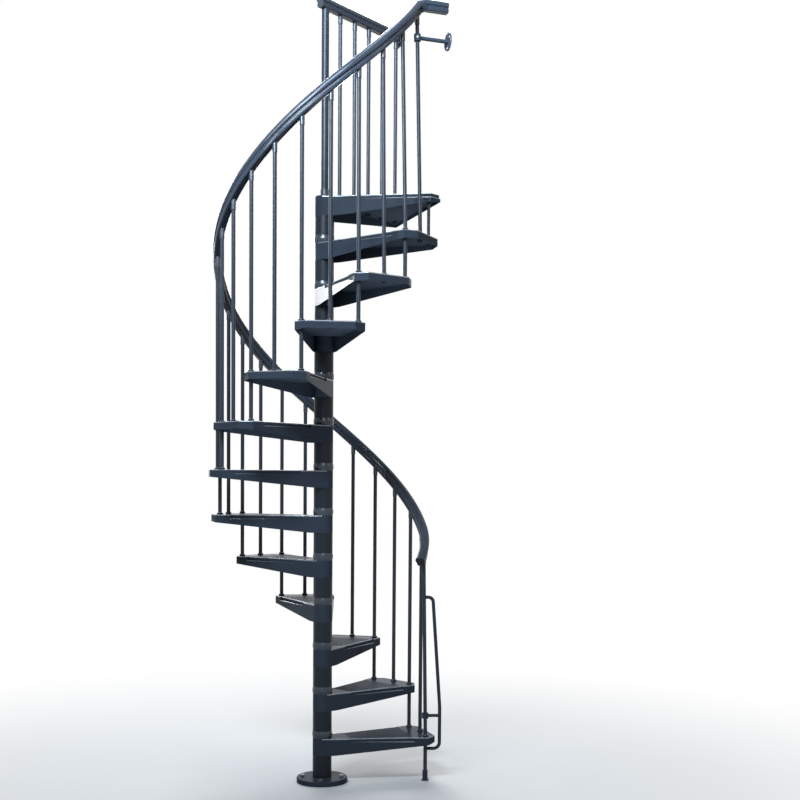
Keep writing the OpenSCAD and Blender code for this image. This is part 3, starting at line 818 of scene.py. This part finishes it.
def rodEnds():
    # the places of the threaded ends, z = 0 on the underside of the sheet
    under = stair["plateThickness"] + stair["sheetThickness"]
    places = []
    for step in treadSteps:
        for side in (0, 0.5):
            places.append(radialPlace(step + side, stair["balusterRing"], step * stair["rise"] - under))
    for post in range(1, guard["count"] + 1):
        along = moveBy(post * guard["pitch"], 0, stair["landingHeight"] - under)
        places.append(turnBy(guard["azimuth"], "Z") @ along)
    return places


def makeRodNuts():
    thick, height = rodNut["washerThick"], rodNut["height"]
    washer = turnedPiece("rodWasher", washerOutline(rodNut["washerRadius"], thick), rodNut["washerSteps"])
    washer.data.transform(moveBy(0, 0, -thick))
    nut = hexPiece("rodHex", rodNut["across"], height, -thick - height)
    low = -thick - height - rodNut["threadDrop"]
    thread = turnedPiece("rodThread", threadOutline(low, 0), rodNut["threadSteps"])
    model = joinPieces([washer, nut, thread], "rodNutModel")
    nuts = spreadCopies(model, rodEnds(), "rod_nuts")
    # the nuts under the treads take the lighter underside coat too: painted bounce light
    finishPiece(nuts, undersideCoat)
    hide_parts("baluster_nuts")


makeRodNuts()

# Button-head screws in the two flanges and in the clamp that holds the wall arm
screw = {
    "headRadius": 6.5, "headHeight": 3.6, "socketRadius": 2.4, "socketDepth": 2.0, "socketRounding": 0.3,
    "dome": [(1, 0.25), (0.93, 0.55), (0.75, 0.82), (0.5, 1)], "steps": 24,  # parts of radius and height
}
wallFlange = {"y": -373.36, "height": 3775, "screwCircle": 32, "thick": 6, "turns": (0, 120, 240)}
guardFlange = {"y": 331.18, "height": 4026, "screwReach": 38, "thick": 5}
armClamp = {"place": 12, "height": 3775, "radius": 16.6, "freeFrom": 2818, "screwFacing": -104}


def screwModel():
    radius, height, edge = screw["headRadius"], screw["headHeight"], screw["socketRounding"]
    socket, floor = screw["socketRadius"], screw["headHeight"] - screw["socketDepth"]
    outline = [(0, 0), (radius, 0)]
    outline += [(radius * wide, height * tall) for wide, tall in screw["dome"]]
    outline += [(socket + edge, height), (socket, height - edge), (socket, floor), (0, floor)]
    return turnedPiece("screwModel", outline, screw["steps"])


def flangeScrewPlace(flange, aside, above):
    # on a flange that lies against the wall, its head towards the stair
    face = stair["wallDistance"] - flange["thick"]
    place = Vector((face, flange["y"] + aside, flange["height"] + above)) * mm
    return Matrix.Translation(place) @ turnBy(-90, "Y")


def wallScrewPlaces():
    reach = wallFlange["screwCircle"]
    turns = [math.radians(turn) for turn in wallFlange["turns"]]
    return [flangeScrewPlace(wallFlange, reach * math.sin(turn), -reach * math.cos(turn))
            for turn in turns]


def guardScrewPlaces():
    return [flangeScrewPlace(guardFlange, side * guardFlange["screwReach"], 0) for side in (-1, 1)]


def clampScrewPlace():
    # on the clamp's round wall
    radius = stair["balusterRing"] - leanIn(armClamp["place"], armClamp["freeFrom"], armClamp["height"])
    centre = radialPlace(armClamp["place"], radius, armClamp["height"]).to_translation()
    return (Matrix.Translation(centre) @ turnBy(armClamp["screwFacing"], "Z")
            @ moveBy(armClamp["radius"], 0, 0) @ turnBy(90, "Y"))


def makeScrews():
    places = wallScrewPlaces() + guardScrewPlaces() + [clampScrewPlace()]
    screws = spreadCopies(screwModel(), places, "button_screws")
    finishPiece(screws, boltZinc)


makeScrews()
print("hardware made")

# Floor, background and light, in metres and watts
stage = {
    "floorSize": 60.0, "floorColour": (0.45, 0.45, 0.447), "floorRoughness": 0.75,
    "mottleScale": 3.0, "mottleShade": 0.96, "fadeFrom": 0.7, "fadeTo": 4.2,
    "white": (1, 1, 1, 1), "worldColour": (0.93, 0.96, 1.0, 1), "worldLight": 0.2,
}


def rayMask(nodes, links):
    # 1 for what the camera sees, also in a reflection or through glass
    paths = nodes.new("ShaderNodeLightPath")
    first = mathNode(nodes, "MAXIMUM")
    second = mathNode(nodes, "MAXIMUM")
    links.new(paths.outputs["Is Camera Ray"], first.inputs[0])
    links.new(paths.outputs["Is Glossy Ray"], first.inputs[1])
    links.new(first.outputs["Value"], second.inputs[0])
    links.new(paths.outputs["Is Transmission Ray"], second.inputs[1])
    return second.outputs["Value"]


def floorMaterial():
    material = bpy.data.materials.new("paleFloor")
    material.use_nodes = True
    nodes, links = material.node_tree.nodes, material.node_tree.links
    shader = nodes["Principled BSDF"]
    shader.inputs["Roughness"].default_value = stage["floorRoughness"]
    place = nodes.new("ShaderNodeTexCoord")
    noise = nodes.new("ShaderNodeTexNoise")
    noise.inputs["Scale"].default_value = stage["mottleScale"]
    darker = [channel * stage["mottleShade"] for channel in stage["floorColour"]]
    mix = colourMix(nodes, stage["floorColour"], darker)
    links.new(place.outputs["Object"], noise.inputs["Vector"])
    links.new(noise.outputs["Fac"], mix.inputs["Factor"])
    links.new(mix.outputs["Result"], shader.inputs["Base Color"])
    # far off, the floor goes over into the white background
    distance = mathNode(nodes, "LENGTH", "ShaderNodeVectorMath")
    fade = rangeNode(nodes, "From", (stage["fadeFrom"], stage["fadeTo"]))
    fade.interpolation_type = "SMOOTHSTEP"
    white = nodes.new("ShaderNodeEmission")
    white.inputs["Color"].default_value = stage["white"]
    amount = mathNode(nodes, "MULTIPLY")
    blend = nodes.new("ShaderNodeMixShader")
    links.new(place.outputs["Object"], distance.inputs[0])
    links.new(distance.outputs["Value"], fade.inputs["Value"])
    links.new(fade.outputs["Result"], amount.inputs[0])
    links.new(rayMask(nodes, links), amount.inputs[1])
    links.new(amount.outputs["Value"], blend.inputs["Fac"])
    links.new(shader.outputs["BSDF"], blend.inputs[1])
    links.new(white.outputs["Emission"], blend.inputs[2])
    links.new(blend.outputs["Shader"], nodes["Material Output"].inputs["Surface"])
    return material


def makeFloor():
    deselectAll()
    bpy.ops.mesh.primitive_plane_add(size=stage["floorSize"], location=(0, 0, 0))
    floor = bpy.context.object
    floor.name = "paleFloor"
    floor.data.materials.append(floorMaterial())


def makeWorld():
    world = bpy.data.worlds.new("paleRoom")
    bpy.context.scene.world = world
    world.use_nodes = True
    nodes, links = world.node_tree.nodes, world.node_tree.links
    light = nodes["Background"]
    light.inputs["Color"].default_value = stage["worldColour"]
    light.inputs["Strength"].default_value = stage["worldLight"]
    seen = nodes.new("ShaderNodeBackground")
    seen.inputs["Color"].default_value = stage["white"]
    seen.inputs["Strength"].default_value = 1.0
    mix = nodes.new("ShaderNodeMixShader")
    links.new(rayMask(nodes, links), mix.inputs["Fac"])
    links.new(light.outputs["Background"], mix.inputs[1])
    links.new(seen.outputs["Background"], mix.inputs[2])
    links.new(mix.outputs["Shader"], nodes["World Output"].inputs["Surface"])


# The last three are small lamps that light only the pieces named: they put a gloss on the treads'
# flanges, on the handrail's ridges, and on the rails' top end. Spin turns a panel in its own plane.
lamps = {
    "highPanel": {
        "place": (-2.0, -2.6, 4.6), "target": (0, 0, 5.5), "size": (1.6, 1.6), "power": 560,
        "colour": (0.74, 0.88, 1.0)},
    "skyStrip": {
        "place": (0.3, 1.0, 7.6), "target": (0.3, 1.0, 0), "size": (6.6, 0.6), "power": 170,
        "colour": (0.95, 0.975, 1.0), "spin": 74},
    "sidePanel": {
        "place": (4.5, -3.5, 4.5), "target": (0, 0, 2.2), "size": (1.2, 3.0), "power": 32,
        "colour": (1.0, 0.99, 0.97)},
    "frontPanel": {
        "place": (-2.4, -8.4, 5.6), "target": (0, 0, 2.8), "size": (2.0, 3.8), "power": 190,
        "colour": (0.94, 0.97, 1.0)},
    "backSky": {
        "place": (0.8, 7.0, 4.5), "target": (0, 0, 2.8), "size": (5.0, 2.2), "power": 300,
        "colour": (0.93, 0.965, 1.0)},
    "highBackPanel": {
        "place": (2.0, 5.2, 7.4), "target": (0.3, -0.4, 3.6), "size": (3.0, 2.6), "power": 380,
        "colour": (0.95, 0.975, 1.0)},
    "floorPanel": {
        "place": (-0.9, -2.2, 0.03), "target": (-0.9, -2.2, 2), "size": (1.4, 1.4), "power": 42,
        "colour": (0.8, 0.9, 1.0), "glossy": False},
    "treadPanel": {
        "place": (-3.1, 5.6, 3.5), "target": (0.1, 0, 2.5), "size": (1.0, 0.8), "power": 260,
        "colour": (0.97, 0.985, 1.0), "only": [f"tread_{step:02d}_softened" for step in treadSteps]},
    "ridgePanel": {
        "place": (-3.0, -1.6, 4.4), "target": (0.4, -0.3, 1.9), "size": (0.5, 2.4), "power": 130,
        "colour": (0.93, 0.96, 1.0), "only": ["handrail_cover"]},
    "railPanel": {
        "place": (-0.8, -1.9, 5.0), "target": (0.3, -0.4, 3.9), "size": (1.4, 0.7), "power": 160,
        "colour": (0.72, 0.86, 1.0), "only": [
            "handrail_cover", "handrail_end_softened", "rail_knuckle", "rail_end_caps_softened",
            "guard_rail_softened", "guard_balusters_rounded", "centre_pole_rounded", "wall_arm_softened",
            "wall_flange_softened"]},
}


def makeLamp(name, values):
    data = bpy.data.lights.new(name, "AREA")
    data.shape = "RECTANGLE"
    data.size, data.size_y = values["size"]
    data.energy = values["power"]
    data.color = values["colour"]
    lamp = newObject(name, data)
    lamp.visible_camera = False
    lamp.visible_glossy = values.get("glossy", True)
    lamp.location = values["place"]
    facing = (Vector(values["target"]) - Vector(values["place"])).to_track_quat("-Z", "Y").to_matrix()
    lamp.rotation_euler = (facing @ turnBy(values.get("spin", 0), "Z", 3)).to_euler()
    if "only" in values:
        lit = bpy.data.collections.new(name + "Pieces")
        for piece in values["only"]:
            lit.objects.link(bpy.data.objects[piece])
        lamp.light_linking.receiver_collection = lit


makeFloor()
makeWorld()
for name, values in lamps.items():
    makeLamp(name, values)

# The camera stands where the photograph was taken from: eye height, about six metres off
view = {
    "place": (-1.7536, -6.0670, 1.5954), "yaw": 19.773, "pitch": -2.787, "roll": 0.442,
    "focalPixels": 1206.4, "frame": 800, "centreRow": 538.0, "centreColumn": 400.0,
    "sensorWidth": 36, "farthest": 200,
}


def makeCamera():
    data = bpy.data.cameras.new("photoView")
    data.sensor_width = view["sensorWidth"]
    data.lens = view["focalPixels"] / view["frame"] * data.sensor_width
    data.shift_x = (view["frame"] / 2 - view["centreColumn"]) / view["frame"]
    data.shift_y = (view["centreRow"] - view["frame"] / 2) / view["frame"]
    data.clip_end = view["farthest"]
    camera = newObject("photoView", data)
    camera.location = view["place"]
    turn = turnBy(-view["yaw"], "Z", 3) @ turnBy(90 + view["pitch"], "X", 3) @ turnBy(view["roll"], "Z", 3)
    camera.rotation_euler = turn.to_euler()
    bpy.context.scene.camera = camera


makeCamera()
bpy.context.scene.view_settings.view_transform = "Standard"
print("stage, light and camera made")
